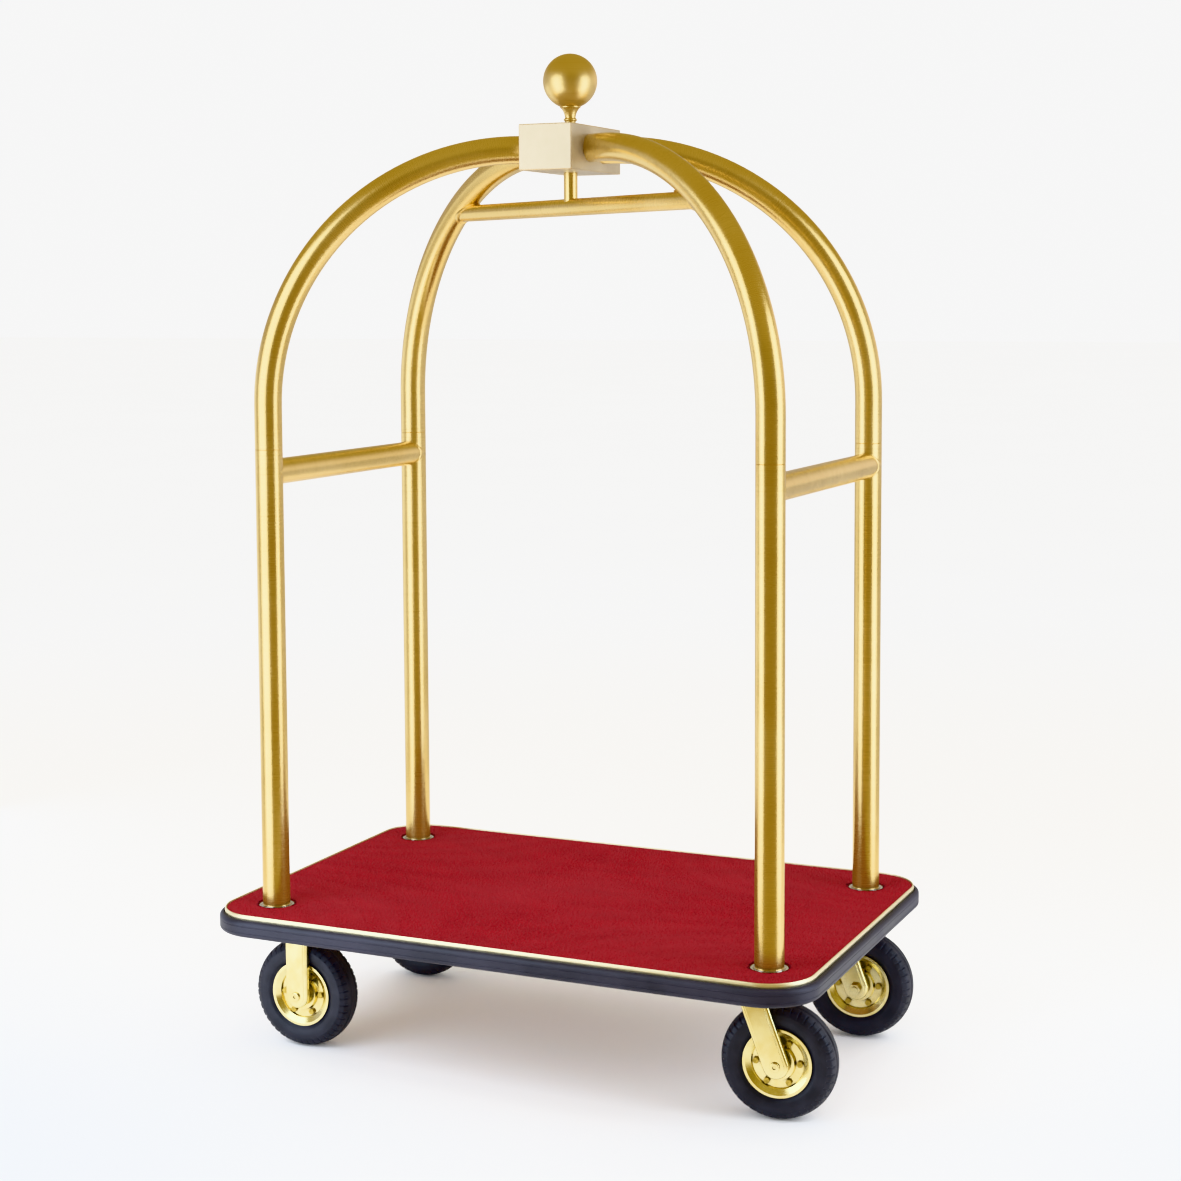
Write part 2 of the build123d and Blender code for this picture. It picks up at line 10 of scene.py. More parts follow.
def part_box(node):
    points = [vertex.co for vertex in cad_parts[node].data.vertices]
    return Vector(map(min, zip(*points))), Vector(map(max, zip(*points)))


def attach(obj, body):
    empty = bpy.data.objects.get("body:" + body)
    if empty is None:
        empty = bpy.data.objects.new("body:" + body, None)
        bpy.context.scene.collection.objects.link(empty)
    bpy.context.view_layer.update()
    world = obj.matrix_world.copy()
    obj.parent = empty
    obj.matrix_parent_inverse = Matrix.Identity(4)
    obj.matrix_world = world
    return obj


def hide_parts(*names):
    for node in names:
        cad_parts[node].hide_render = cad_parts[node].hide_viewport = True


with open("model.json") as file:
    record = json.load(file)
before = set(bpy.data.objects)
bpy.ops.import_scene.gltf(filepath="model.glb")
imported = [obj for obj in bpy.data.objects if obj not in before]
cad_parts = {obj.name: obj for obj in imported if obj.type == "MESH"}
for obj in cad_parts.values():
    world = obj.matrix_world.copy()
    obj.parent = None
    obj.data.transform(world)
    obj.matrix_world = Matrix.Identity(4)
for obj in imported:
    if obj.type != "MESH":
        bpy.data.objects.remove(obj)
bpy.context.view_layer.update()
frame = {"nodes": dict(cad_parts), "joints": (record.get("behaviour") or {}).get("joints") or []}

# A birdcage luggage cart in satin gold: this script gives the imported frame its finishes, and makes
# the carpet, its pile, the bumper, the edge trim and the tyres, then the studio and the camera.
# Lengths are in metres, with MM for sizes that are easier to read in millimetres.

MM = 0.001
SEED = 7
bpy.context.scene.view_settings.view_transform = "Khronos PBR Neutral"

# Sizes taken from the frame
carpet_low, carpet_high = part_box("carpet")
deck_half_length, deck_half_width = carpet_high.x, carpet_high.y
post_low, post_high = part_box("post_front_right")
post_x = (post_low.x + post_high.x) / 2
post_y = -(post_low.y + post_high.y) / 2
post_reach = hypot(post_x, post_y)
tube_radius = (post_high.x - post_low.x) / 2
base_ring_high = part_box("post_base_rings")[1]
base_hole_radius = base_ring_high.x - post_x + 0.5 * MM
trim_low, trim_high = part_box("edge_trim")
trim_thickness = trim_high.x - deck_half_length
bumper_low, bumper_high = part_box("bumper")
tyre_low, tyre_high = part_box("tyre_front_left")
tyre_radius = (tyre_high.z - tyre_low.z) / 2
tyre_half_width = (tyre_high.y - tyre_low.y) / 2

# Sizes that the frame's boxes can't give
DECK_CORNER = 82 * MM
ARCH_RADIUS = 467 * MM
arch_start_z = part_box("arch_front_right")[1].z - tube_radius - ARCH_RADIUS


# ---- mesh helpers ----

SHARP_EDGE = radians(38)


def make_piece(name, points, faces, material, body, smooth=True):
    """A mesh object that rides on a body and wears one material."""
    mesh = bpy.data.meshes.new(name)
    mesh.from_pydata([tuple(p) for p in points], [], [tuple(f) for f in faces])
    mesh.update()
    mesh.polygons.foreach_set("use_smooth", [smooth] * len(mesh.polygons))
    if smooth:
        mesh.set_sharp_from_angle(angle=SHARP_EDGE)
    mesh.materials.append(material)
    piece = bpy.data.objects.new(name, mesh)
    bpy.context.scene.collection.objects.link(piece)
    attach(piece, body)
    return piece


def arc_through(start, middle, end, steps):
    """Points on the circle through three points, from start to end."""
    (ax, ay), (bx, by), (cx, cy) = start, middle, end
    d = 2 * (ax * (by - cy) + bx * (cy - ay) + cx * (ay - by))
    a2, b2, c2 = ax**2 + ay**2, bx**2 + by**2, cx**2 + cy**2
    ox = (a2 * (by - cy) + b2 * (cy - ay) + c2 * (ay - by)) / d
    oy = (a2 * (cx - bx) + b2 * (ax - cx) + c2 * (bx - ax)) / d
    radius = hypot(ax - ox, ay - oy)
    first = atan2(ay - oy, ax - ox)
    through = (atan2(by - oy, bx - ox) - first) % (2 * pi)
    turn = (atan2(cy - oy, cx - ox) - first) % (2 * pi)
    if through > turn:
        turn -= 2 * pi
    angles = [first + turn * i / steps for i in range(steps + 1)]
    return [(ox + radius * cos(a), oy + radius * sin(a)) for a in angles]


def deck_path(straight_step=20 * MM, corner_steps=20):
    """Points round the carpet's edge, each with its outward direction."""
    inner_x, inner_y = deck_half_length - DECK_CORNER, deck_half_width - DECK_CORNER
    corners = [(inner_x, -inner_y, -90), (inner_x, inner_y, 0),
               (-inner_x, inner_y, 90), (-inner_x, -inner_y, 180)]
    path = []
    for i, (cx, cy, start) in enumerate(corners):
        for k in range(corner_steps + 1):
            a = radians(start + 90 * k / corner_steps)
            path.append((cx + DECK_CORNER * cos(a), cy + DECK_CORNER * sin(a), cos(a), sin(a)))
        x, y, nx, ny = path[-1]
        next_x, next_y, next_start = corners[(i + 1) % 4]
        a = radians(next_start)
        end_x, end_y = next_x + DECK_CORNER * cos(a), next_y + DECK_CORNER * sin(a)
        steps = ceil(hypot(end_x - x, end_y - y) / straight_step)
        for k in range(1, steps):
            path.append((x + (end_x - x) * k / steps, y + (end_y - y) * k / steps, nx, ny))
    return path


def grid_faces(rows, columns):
    """Quads of a grid that closes on itself both ways."""
    faces = []
    for i in range(rows):
        j = (i + 1) % rows
        for k in range(columns):
            m = (k + 1) % columns
            faces.append((i * columns + k, j * columns + k, j * columns + m, i * columns + m))
    return faces


def loft_round_deck(profile):
    """Carries a closed profile of (outward, height) points round the deck's edge."""
    path = deck_path()
    points = [(x + nx * out, y + ny * out, z) for x, y, nx, ny in path for out, z in profile]
    return points, grid_faces(len(path), len(profile))


# ---- material helpers ----

def srgb(red, green, blue):
    """A screen colour from 0 to 255 as the linear colour that shaders take."""
    def linear(v):
        v /= 255
        return v / 12.92 if v <= 0.04045 else ((v + 0.055) / 1.055) ** 2.4
    return (linear(red), linear(green), linear(blue), 1.0)


def grey(value):
    return (value, value, value, 1.0)


class Nodes:
    """Adds nodes to one shader tree and links them."""

    def __init__(self, tree):
        self.tree = tree

    def feed(self, socket, value):
        if isinstance(value, bpy.types.NodeSocket):
            self.tree.links.new(value, socket)
        else:
            socket.default_value = value

    def node(self, kind, settings=(), **inputs):
        node = self.tree.nodes.new("ShaderNode" + kind)
        for key, value in dict(settings).items():
            setattr(node, key, value)
        for key, value in inputs.items():
            self.feed(node.inputs[key.replace("_", " ")], value)
        return node

    def math(self, operation, *values):
        node = self.node("Math", {"operation": operation})
        for socket, value in zip(node.inputs, values):
            self.feed(socket, value)
        return node.outputs[0]

    def add(self, first, second):
        return self.math("ADD", first, second)

    def times(self, first, second):
        return self.math("MULTIPLY", first, second)

    def length(self, first, second):
        """Length of the right-angled sum of two coordinates."""
        squares = self.add(self.times(first, first), self.times(second, second))
        return self.math("SQRT", squares)

    def along(self, vector, direction):
        """How far a vector reaches in a direction."""
        node = self.node("VectorMath", {"operation": "DOT_PRODUCT"})
        self.feed(node.inputs[0], vector)
        self.feed(node.inputs[1], direction)
        return node.outputs["Value"]

    def fit(self, value, low, high, to_low=0.0, to_high=1.0):
        """Carries low..high over to to_low..to_high, level beyond the ends and eased between."""
        node = self.node("MapRange", {"interpolation_type": "SMOOTHSTEP"})
        for socket, given in zip(node.inputs, (value, low, high, to_low, to_high)):
            self.feed(socket, given)
        return node.outputs[0]

    def mix(self, amount, first, second):
        """A colour that goes from first to second."""
        node = self.node("Mix", {"data_type": "RGBA"})
        factor, colour_a, colour_b = node.inputs[0], node.inputs[6], node.inputs[7]
        for socket, given in ((factor, amount), (colour_a, first), (colour_b, second)):
            self.feed(socket, given)
        return node.outputs[2]

    def ray_is(self, kind):
        return self.node("LightPath").outputs["Is " + kind + " Ray"]


class Finish(Nodes):
    """One node material under construction. Its coordinates are the object's own, in metres."""

    def __init__(self, name):
        self.material = bpy.data.materials.new(name)
        self.material.use_nodes = True
        super().__init__(self.material.node_tree)
        self.surface = self.tree.nodes["Principled BSDF"]
        self.place = self.node("TexCoord").outputs["Object"]
        self.x, self.y, self.z = self.node("SeparateXYZ", Vector=self.place).outputs

    def stretched(self, sx, sy, sz):
        return self.node("Mapping", Vector=self.place, Scale=(sx, sy, sz)).outputs[0]

    def noise(self, scale, detail=4.0, roughness=0.55, vector=None):
        vector = self.place if vector is None else vector
        node = self.node("TexNoise", Vector=vector, Scale=scale, Detail=detail, Roughness=roughness)
        return node.outputs["Fac"]

    def lines(self, length, scale, detail=3.0):
        """Fine, slightly wandering grooves across a length, as polishing belts leave them."""
        w = self.add(length, self.times(self.noise(30.0, 2.0), 4 * MM))
        node = self.node("TexNoise", {"noise_dimensions": "1D"}, W=w, Scale=scale, Detail=detail)
        return node.outputs["Fac"]

    def wear(self, radius):
        """1 along edges sharper than radius, 0 on flat and gently curved faces."""
        rounded = self.node("Bevel", {"samples": 4}, Radius=radius).outputs[0]
        flat = self.node("NewGeometry").outputs["Normal"]
        return self.fit(self.along(rounded, flat), 0.995, 0.93)

    def painted_shade_mask(self, distance):
        """Mask for painted shade, from ambient occlusion: 1 in crevices, 0 in the open."""
        shade = self.node("AmbientOcclusion", {"samples": 8}, Distance=distance).outputs["AO"]
        return self.fit(shade, 0.85, 0.3)

    def rounded_edges(self, radius):
        return self.node("Bevel", {"samples": 6}, Radius=radius).outputs[0]

    def bump(self, height, depth, strength=1.0, under=None):
        node = self.node("Bump", Height=height, Distance=depth, Strength=strength)
        if under is not None:
            self.feed(node.inputs["Normal"], under)
        return node.outputs[0]

    def set(self, **inputs):
        """Feeds the surface shader and hands back the finished material."""
        for key, value in inputs.items():
            self.feed(self.surface.inputs[key.replace("_", " ")], value)
        return self.material


# ---- materials ----

def along_arch(finish):
    """Length along an arch, the same for all four, from the post up to the hub."""
    from_post_x = finish.math("SUBTRACT", post_x, finish.math("ABSOLUTE", finish.x))
    from_post_y = finish.math("SUBTRACT", post_y, finish.math("ABSOLUTE", finish.y))
    inward_x = finish.times(from_post_x, post_x / post_reach)
    inward_y = finish.times(from_post_y, post_y / post_reach)
    to_centre = finish.math("SUBTRACT", ARCH_RADIUS, finish.add(inward_x, inward_y))
    rise = finish.math("SUBTRACT", finish.z, arch_start_z)
    return finish.times(finish.math("ARCTAN2", rise, to_centre), ARCH_RADIUS)


def along_rail(finish):
    """Length along the garment rail, which runs from the back left arch to the front right one."""
    part_x = finish.times(finish.x, post_x / post_reach)
    part_y = finish.times(finish.y, -post_y / post_reach)
    return finish.add(part_x, part_y)


def along_crossbar(finish):
    return finish.y


def up(finish):
    return finish.z


def satin_gold(name, length_of, smooth_roughness=0.22):
    """Brushed gold: fine polishing lines across its length, faint smears and pits."""
    finish = Finish(name)
    gold, pale_gold, streak_gold = srgb(224, 193, 122), srgb(232, 204, 138), srgb(206, 172, 92)
    length = length_of(finish)
    fine = finish.lines(length, 2600.0)
    broad = finish.lines(length, 260.0)
    smear = finish.noise(5.0, 5.0)
    pits = finish.noise(420.0, 2.0)
    colour = finish.mix(finish.fit(smear, 0.3, 0.7), gold, pale_gold)
    colour = finish.mix(finish.fit(broad, 0.62, 0.8, 0.0, 0.35), colour, streak_gold)
    smeared = finish.fit(smear, 0.3, 0.75, smooth_roughness, smooth_roughness + 0.06)
    rough = finish.add(smeared, finish.fit(fine, 0.3, 0.7, 0.0, 0.07))
    height = finish.add(finish.times(fine, 0.8), finish.times(pits, 0.2))
    normal = finish.bump(height, 0.05 * MM, 0.55, finish.rounded_edges(0.8 * MM))
    return finish.set(Base_Color=colour, Metallic=1.0, Roughness=rough, Normal=normal)


def polished_plate(name, light, deep, roughness):
    """Plated pressed steel: bright, a little wavy, paler on worn edges, with brown painted shade in its
    corners.
    """
    finish = Finish(name)
    painted_corner_shade, worn_edge = srgb(118, 88, 20), srgb(250, 240, 205)
    wave = finish.noise(28.0, 3.0)
    grain = finish.noise(900.0, 3.0)
    scratch = finish.noise(60.0, 6.0, 0.7, finish.stretched(1.0, 6.0, 14.0))
    colour = finish.mix(finish.fit(wave, 0.35, 0.7), light, deep)
    # Painted shade: a dark brown laid into corners and recesses by ambient occlusion.
    colour = finish.mix(finish.times(finish.painted_shade_mask(9 * MM), 0.65), colour, painted_corner_shade)
    edge = finish.times(finish.wear(1.2 * MM), finish.fit(scratch, 0.35, 0.6))
    colour = finish.mix(finish.times(edge, 0.5), colour, worn_edge)
    rough = finish.add(finish.fit(scratch, 0.4, 0.75, roughness, roughness + 0.12), 0.02)
    height = finish.add(wave, finish.times(grain, 0.06))
    normal = finish.bump(height, 0.10 * MM, 0.5, finish.rounded_edges(0.7 * MM))
    return finish.set(Base_Color=colour, Metallic=1.0, Roughness=rough, Normal=normal)


def champagne_plate():
    """Satin champagne plating on a flat block: cloudy, brushed upright, more golden at its edges."""
    finish = Finish("champagne_plate")
    champagne, pale_champagne, edge_gold = srgb(180, 164, 134), srgb(192, 176, 146), srgb(178, 136, 56)
    cloud = finish.noise(14.0, 4.0)
    brush = finish.noise(40.0, 6.0, 0.7, finish.stretched(14.0, 14.0, 0.8))
    colour = finish.mix(finish.fit(cloud, 0.3, 0.7), champagne, pale_champagne)
    colour = finish.mix(finish.times(finish.wear(2.6 * MM), 0.9), colour, edge_gold)
    rough = finish.add(finish.fit(cloud, 0.3, 0.7, 0.36, 0.42), finish.fit(brush, 0.3, 0.7, 0.0, 0.06))
    normal = finish.bump(brush, 0.06 * MM, 0.5, finish.rounded_edges(0.8 * MM))
    return finish.set(Base_Color=colour, Metallic=0.55, Roughness=rough, Normal=normal)


def bright_trim():
    """Anodised strip with a fine grain and small nicks from luggage."""
    finish = Finish("bright_trim")
    bright, nicked = srgb(244, 232, 194), srgb(230, 210, 160)
    nicks = finish.noise(140.0, 5.0, 0.7)
    grain = finish.noise(1200.0, 2.0)
    colour = finish.mix(finish.fit(nicks, 0.62, 0.78), bright, nicked)
    rough = finish.fit(nicks, 0.4, 0.75, 0.40, 0.48)
    height = finish.add(finish.times(nicks, 0.3), finish.times(grain, 0.1))
    normal = finish.bump(height, 0.02 * MM, 0.1)
    return finish.set(Base_Color=colour, Metallic=1.0, Roughness=rough, Normal=normal)


def plain_steel(name, clean, roughness):
    """Plated fastener steel, mottled, with dark painted shade in its corners."""
    finish = Finish(name)
    dulled = tuple(0.7 * c for c in clean[:3]) + (1.0,)
    painted_crevice_shade = srgb(30, 26, 20)
    mottle = finish.noise(220.0, 4.0)
    colour = finish.mix(finish.fit(mottle, 0.3, 0.7), clean, dulled)
    # Painted shade: near-black laid into corners by ambient occlusion.
    colour = finish.mix(finish.times(finish.painted_shade_mask(4 * MM), 0.7), colour, painted_crevice_shade)
    rough = finish.fit(mottle, 0.3, 0.7, roughness, roughness + 0.15)
    normal = finish.bump(mottle, 0.06 * MM, 0.5, finish.rounded_edges(0.5 * MM))
    return finish.set(Base_Color=colour, Metallic=1.0, Roughness=rough, Normal=normal)


def carpet_red(name, light, dark, sheen):
    """Short cut pile: tone shifts with the lie of the pile, and fibre flecks. The metal mirrors it
    browner than it looks."""
    finish = Finish(name)
    fleck_red, mirrored_brown, sheen_pink = srgb(176, 62, 64), srgb(104, 78, 40), srgb(225, 120, 120)
    lie = finish.noise(7.0, 4.0, 0.6, finish.stretched(1.0, 2.2, 1.0))
    tuft = finish.noise(520.0, 3.0, 0.7)
    fleck = finish.noise(1400.0, 2.0)
    tone = finish.add(finish.fit(lie, 0.3, 0.7, 0.0, 0.25), finish.fit(tuft, 0.3, 0.7, 0.0, 0.75))
    colour = finish.mix(tone, dark, light)
    colour = finish.mix(finish.fit(fleck, 0.68, 0.8, 0.0, 0.4), colour, fleck_red)
    colour = finish.mix(finish.times(finish.ray_is("Glossy"), 0.75), colour, mirrored_brown)
    normal = finish.bump(finish.add(tuft, finish.times(fleck, 0.5)), 0.9 * MM, 0.7)
    finish.set(Sheen_Weight=sheen, Sheen_Roughness=0.5, Sheen_Tint=sheen_pink, Specular_IOR_Level=0.15)
    return finish.set(Base_Color=colour, Roughness=0.95, Normal=normal)


def bumper_rubber():
    """Grey-violet extruded rubber: fine grain, bloom in patches and faint scuffs."""
    finish = Finish("bumper_rubber_finish")
    rubber, bloomed, scuffed = srgb(38, 36, 44), srgb(50, 47, 57), srgb(66, 63, 73)
    grain = finish.noise(1500.0, 3.0)
    bloom = finish.noise(9.0, 5.0)
    scuff = finish.noise(38.0, 6.0, 0.72, finish.stretched(1.0, 1.0, 5.0))
    colour = finish.mix(finish.fit(bloom, 0.3, 0.7), rubber, bloomed)
    marks = finish.times(finish.fit(scuff, 0.6, 0.72), finish.fit(bloom, 0.4, 0.6, 0.2, 0.6))
    colour = finish.mix(marks, colour, scuffed)
    rough = finish.add(finish.fit(bloom, 0.3, 0.7, 0.42, 0.52), finish.times(marks, 0.2))
    height = finish.add(finish.times(grain, 0.5), finish.times(scuff, 0.5))
    normal = finish.bump(height, 0.06 * MM, 0.4)
    return finish.set(Base_Color=colour, Roughness=rough, Normal=normal, Specular_IOR_Level=0.4)


def tyre_rubber():
    """Moulded tyre rubber: blue-black, dusty and duller where it rolls."""
    finish = Finish("tyre_rubber_finish")
    rubber, worn_rubber, dust_grey = srgb(31, 30, 36), srgb(41, 40, 48), srgb(66, 63, 65)
    grain = finish.noise(1300.0, 3.0)
    patch = finish.noise(30.0, 5.0)
    rolling = finish.fit(finish.length(finish.x, finish.z), tyre_radius - 7 * MM, tyre_radius - 1 * MM)
    dust = finish.times(rolling, finish.fit(patch, 0.35, 0.65, 0.25, 0.75))
    colour = finish.mix(finish.fit(patch, 0.3, 0.7), rubber, worn_rubber)
    colour = finish.mix(dust, colour, dust_grey)
    rough = finish.add(0.5, finish.times(dust, 0.35))
    normal = finish.bump(finish.add(grain, patch), 0.12 * MM, 0.6)
    return finish.set(Base_Color=colour, Roughness=rough, Normal=normal, Specular_IOR_Level=0.4)


def plywood():
    """Sealed board: long grain on its faces and thin layers on its edge."""
    finish = Finish("plywood_finish")
    dark_wood, light_wood, glue_line = srgb(150, 112, 70), srgb(190, 150, 100), srgb(112, 78, 46)
    grain = finish.noise(30.0, 6.0, 0.65, finish.stretched(0.6, 9.0, 9.0))
    layers = finish.node("TexWave", {"bands_direction": "Z"}, Vector=finish.place, Scale=110.0)
    colour = finish.mix(finish.fit(grain, 0.3, 0.7), dark_wood, light_wood)
    colour = finish.mix(finish.fit(layers.outputs["Fac"], 0.4, 0.6, 0.0, 0.35), colour, glue_line)
    rough = finish.fit(grain, 0.3, 0.7, 0.45, 0.65)
    return finish.set(Base_Color=colour, Roughness=rough, Normal=finish.bump(grain, 0.2 * MM, 0.5))


def black_paint():
    """Satin black paint with a slight orange peel, chipped along its edges."""
    finish = Finish("black_paint")
    black, bare_metal = srgb(28, 28, 30), srgb(120, 118, 115)
    peel = finish.noise(260.0, 2.0)
    chips = finish.times(finish.wear(1.5 * MM), finish.fit(finish.noise(90.0, 5.0), 0.5, 0.6))
    colour = finish.mix(chips, black, bare_metal)
    rough = finish.fit(finish.noise(12.0), 0.3, 0.7, 0.35, 0.5)
    normal = finish.bump(peel, 0.1 * MM, 0.6, finish.rounded_edges(0.8 * MM))
    return finish.set(Base_Color=colour, Roughness=rough, Normal=normal)


# ---- finishes for the frame's own parts ----

def dress(material, *prefixes):
    """Puts a material on every CAD node whose name starts with one of the prefixes."""
    for name, node in frame["nodes"].items():
        if name.startswith(prefixes):
            for place in node.material_slots:
                place.material = material


def dress_frame():
    """Gives each CAD node its finish. The later line counts where two fit: the bolts come last."""
    pale_gold = polished_plate("pale_gold", srgb(240, 228, 172), srgb(230, 212, 144), 0.15)
    dress(pale_gold, "rim_", "wheel_hub", "fixed_fork", "fixed_axles")
    dress(pale_gold, "swivel_fork", "swivel_plate", "swivel_axle")
    pale_nickel = polished_plate("pale_nickel", srgb(246, 242, 236), srgb(228, 222, 212), 0.2)
    dress(pale_nickel, "post_base_rings")
    dress(champagne_plate(), "hub")
    dress(satin_gold("gold_post", up), "post_front", "post_back", "hanger_stem")
    dress(satin_gold("gold_arch", along_arch), "arch_front", "arch_back")
    dress(satin_gold("gold_crossbar", along_crossbar), "crossbar_")
    dress(satin_gold("gold_rail", along_rail), "hanger_rail", "hanger_welds")
    dress(satin_gold("gold_finial", up, 0.29), "finial_ball", "finial_neck")
    dress(plywood(), "deck_board")
    dress(black_paint(), "deck_stiffeners")
    dress(plain_steel("bolt_gold", srgb(190, 164, 84), 0.25), "rim_bolts")
    dress(plain_steel("bearing_steel", srgb(120, 112, 92), 0.3), "swivel_balls", "kingpins")
    zinc = plain_steel("zinc", srgb(150, 146, 138), 0.32)
    dress(zinc, "caster_screws", "post_base_bolts", "hub_bolts")
    inner_steel = plain_steel("inner_steel", srgb(120, 118, 114), 0.4)
    dress(inner_steel, "splice", "post_base_plugs", "arch_end")
    dress(plain_steel("stud_steel", srgb(140, 134, 118), 0.32), "finial_stud")


# ---- carpet ----

CARPET_SOFT_EDGE = 1.2 * MM
CARPET_UNEVENNESS = 0.25 * MM
CARPET_GRID = 7 * MM
HOLE_STEPS = 48
TUFT_PITCH = 4.6 * MM
TUFT_RADIUS = 2.5 * MM
TUFT_LEAN = 2.4 * MM
TUFT_CLEARANCE = 2.6 * MM


def post_centres():
    return [(sx * post_x, sy * post_y) for sx in (-1, 1) for sy in (-1, 1)]


def inside_deck(x, y, margin):
    """Whether a point lies on the deck at least margin inside its edge."""
    over_x = abs(x) - (deck_half_length - DECK_CORNER)
    over_y = abs(y) - (deck_half_width - DECK_CORNER)
    if over_x > 0 and over_y > 0:
        return hypot(over_x, over_y) < DECK_CORNER - margin
    return max(over_x, over_y) < DECK_CORNER - margin


def clear_of_posts(x, y, margin):
    return all(hypot(x - px, y - py) > base_hole_radius + margin for px, py in post_centres())


def carpet_loops():
    """The carpet's edge, then its four round post holes, with each point's direction outwards."""
    loops = [deck_path(8 * MM, 16)]
    for px, py in post_centres():
        turns = [2 * pi * k / HOLE_STEPS for k in range(HOLE_STEPS)]
        r = base_hole_radius
        loops.append([(px + r * cos(a), py + r * sin(a), -cos(a), -sin(a)) for a in turns])
    return loops


def triangles(flat, edges):
    """Triangles between flat points and edges, without those that lie in a post hole."""
    found, _, cells, *_ = delaunay_2d_cdt(flat, edges, [], 1, 1e-7)
    assert len(found) == len(flat), "the carpet's outline points have to stay apart"
    kept = []
    for cell in cells:
        cx, cy = sum(found[i].x for i in cell) / 3, sum(found[i].y for i in cell) / 3
        if clear_of_posts(cx, cy, 0):
            kept.append(tuple(cell))
    return found, kept


def swell(x, y):
    """The carpet's slight unevenness, from about -1.6 to 1.6."""
    return sin(9 * x + 2) * cos(13 * y) + 0.6 * sin(279 * x * y + 17 * y)


def make_carpet(material):
    """The carpet's backing and body: a thin sheet with soft edges and a slightly uneven face."""
    rng = np.random.default_rng(SEED)
    bottom, top = carpet_low.z + 0.1 * MM, carpet_high.z - 1.5 * MM
    loops = carpet_loops()
    flat, edges = [], []
    for loop in loops:
        first = len(flat)
        flat += [Vector((x - nx * CARPET_SOFT_EDGE, y - ny * CARPET_SOFT_EDGE)) for x, y, nx, ny in loop]
        edges += [(first + k, first + (k + 1) % len(loop)) for k in range(len(loop))]
    outline_count = len(flat)
    for x in np.arange(-deck_half_length + CARPET_GRID, deck_half_length, CARPET_GRID):
        for y in np.arange(-deck_half_width + CARPET_GRID, deck_half_width, CARPET_GRID):
            x_near, y_near = (x, y) + rng.uniform(-0.3, 0.3, 2) * CARPET_GRID
            if inside_deck(x_near, y_near, 5 * MM) and clear_of_posts(x_near, y_near, 4 * MM):
                flat.append(Vector((x_near, y_near)))
    found, faces = triangles(flat, edges)
    points = []
    for k, p in enumerate(found):
        uneven = CARPET_UNEVENNESS * swell(p.x, p.y) if k >= outline_count else 0
        points.append((p.x, p.y, top + uneven))
    outline = [(x, y) for loop in loops for x, y, nx, ny in loop]
    upper_edge = len(points)
    points += [(x, y, top - CARPET_SOFT_EDGE) for x, y in outline]
    lower_edge = len(points)
    points += [(x, y, bottom) for x, y in outline]
    for a, b in edges:
        faces.append((a, upper_edge + a, upper_edge + b, b))
        faces.append((upper_edge + a, lower_edge + a, lower_edge + b, upper_edge + b))
    for cell in triangles([Vector(p) for p in outline], edges)[1]:
        faces.append(tuple(lower_edge + i for i in reversed(cell)))
    return make_piece("carpet_sheet", points, faces, material, "root")


def make_pile(material):
    """Tufts all over the carpet: small leaning points, each a closed three-sided spike."""
    rng = np.random.default_rng(SEED + 1)
    foot, tip = carpet_high.z - 2.2 * MM, carpet_high.z - 0.1 * MM
    points, faces = [], []
    for x in np.arange(-deck_half_length, deck_half_length, TUFT_PITCH):
        for y in np.arange(-deck_half_width, deck_half_width, TUFT_PITCH):
            turn, lean_x, lean_y, short = rng.uniform(0, 1, 4)
            tx, ty = (x, y) + rng.uniform(-0.4, 0.4, 2) * TUFT_PITCH
            if not (inside_deck(tx, ty, TUFT_CLEARANCE) and clear_of_posts(tx, ty, TUFT_CLEARANCE)):
                continue
            n = len(points)
            for k in range(3):
                a = 2 * pi * (turn + k / 3)
                points.append((tx + TUFT_RADIUS * cos(a), ty + TUFT_RADIUS * sin(a), foot))
            tip_x, tip_y = tx + TUFT_LEAN * (lean_x - 0.3), ty + TUFT_LEAN * (lean_y - 0.5)
            points.append((tip_x, tip_y, tip - short * 0.7 * MM))
            faces += [(n, n + 1, n + 3), (n + 1, n + 2, n + 3), (n + 2, n, n + 3), (n, n + 2, n + 1)]
    return make_piece("carpet_pile", points, faces, material, "root", smooth=False)


def build_carpet():
    sheet = make_carpet(carpet_red("carpet_body", srgb(136, 33, 37), srgb(110, 24, 28), 0.12))
    pile = make_pile(carpet_red("carpet_tufts", srgb(150, 36, 40), srgb(122, 26, 31), 0.15))
    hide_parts("carpet")


# ---- edge trim and bumper ----

def build_trim():
    """A thin strip round the deck whose showing edge is crowned."""
    low, high = trim_low.z, trim_high.z
    shoulder = (trim_thickness, bumper_high.z + 1.0 * MM)
    bulge = (trim_thickness + 0.25 * MM, high - 3.4 * MM)
    crown = arc_through(shoulder, bulge, (trim_thickness * 0.55, high), 10)
    inside = [(0.25 * MM, high - 0.3 * MM), (0.0, high - 1.2 * MM)]
    points, faces = loft_round_deck([(0.0, low), (trim_thickness, low), *crown, *inside])
    trim = make_piece("edge_trim_strip", points, faces, bright_trim(), "root")
    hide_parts("edge_trim")


def shallow_groove(x, z, width, depth):
    """Points of a small flat-bottomed groove in an upright face, from its lower edge up."""
    return [(x, z - width / 2), (x - depth, z - width / 5), (x - depth, z + width / 5), (x, z + width / 2)]


def quarter_round(start, centre, end, steps):
    """An outward round from start to end about a centre."""
    radius = hypot(start[0] - centre[0], start[1] - centre[1])
    lean_x, lean_z = start[0] + end[0] - 2 * centre[0], start[1] + end[1] - 2 * centre[1]
    reach = radius / hypot(lean_x, lean_z)
    middle = (centre[0] + lean_x * reach, centre[1] + lean_z * reach)
    return arc_through(start, middle, end, steps)


